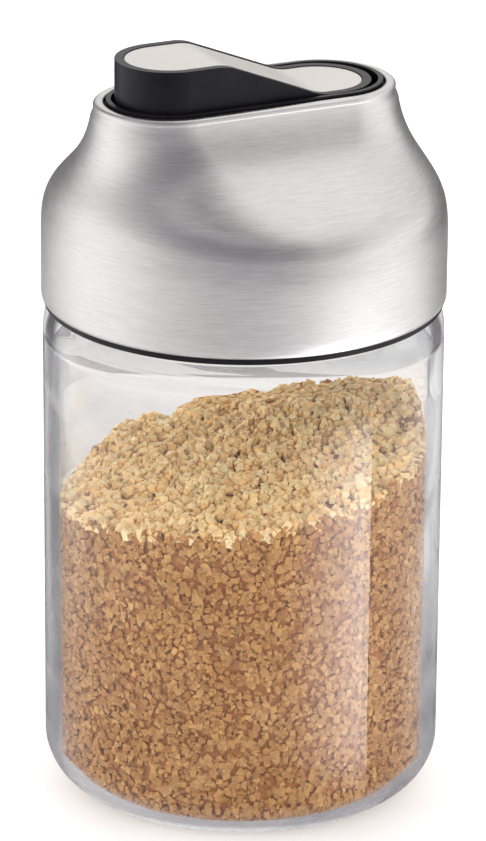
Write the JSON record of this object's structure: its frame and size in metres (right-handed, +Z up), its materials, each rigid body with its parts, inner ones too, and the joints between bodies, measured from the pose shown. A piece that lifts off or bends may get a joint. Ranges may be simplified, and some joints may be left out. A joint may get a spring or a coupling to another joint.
{
  "type": "sugar dispenser",
  "caption": "Glass sugar jar with a brushed steel screw cap; pressing the low end of the oblong top flap rocks the high end up off a pour hole.",
  "frame": {"origin": "centre of the jar's standing face, on the table", "axes": "+Z up; -X towards the raised pouring end of the flap, +X towards the thumb end; Y along the flap's hinge pin"},
  "size_m": [0.08, 0.08, 0.1526],
  "materials": {
    "glass": "clear, fire polished",
    "sugar": "coarse raw cane sugar crystals",
    "silicone": "matt translucent silicone",
    "shell_steel": "fine brushing round the cap",
    "inlay_steel": "satin, brushed along its length",
    "wire_steel": "drawn wire",
    "black_plastic": "satin moulded"
  },
  "bodies": {
    "jar": {"glass_jar": "glass", "sugar_fill": "sugar"},
    "gasket": {"jar_seal": "silicone"},
    "cap": {"cap_shell": "shell_steel", "cap_liner": "black_plastic", "bezel": "black_plastic", "liner_screws": "wire_steel", "hinge_pin": "wire_steel", "return_spring": "wire_steel"},
    "flap": {"flap_body": "black_plastic", "flap_inlay": "inlay_steel", "flap_seal": "silicone"}
  },
  "joints": [
    {"name": "cap_lift", "type": "slide", "parent": "jar", "child": "gasket", "axis": [0, 0, 1], "range_m": [0, 0.0061]},
    {"name": "cap_unscrew", "type": "hinge", "parent": "gasket", "child": "cap", "pos_m": [0, 0, 0.107], "axis": [0, 0, 1], "range_deg": [0, 540]},
    {"name": "flap_pivot", "type": "hinge", "parent": "cap", "child": "flap", "pos_m": [0.0085, 0, 0.1392], "axis": [0, 1, 0], "range_deg": [0, 35], "stiffness_Nm_per_rad": 0.02, "springref_deg": -45.84, "deforming": ["return_spring"]}
  ],
  "couplings": [
    {"joint": "cap_lift", "follows": "cap_unscrew", "m_per_rad": 0.00063662}
  ]
}
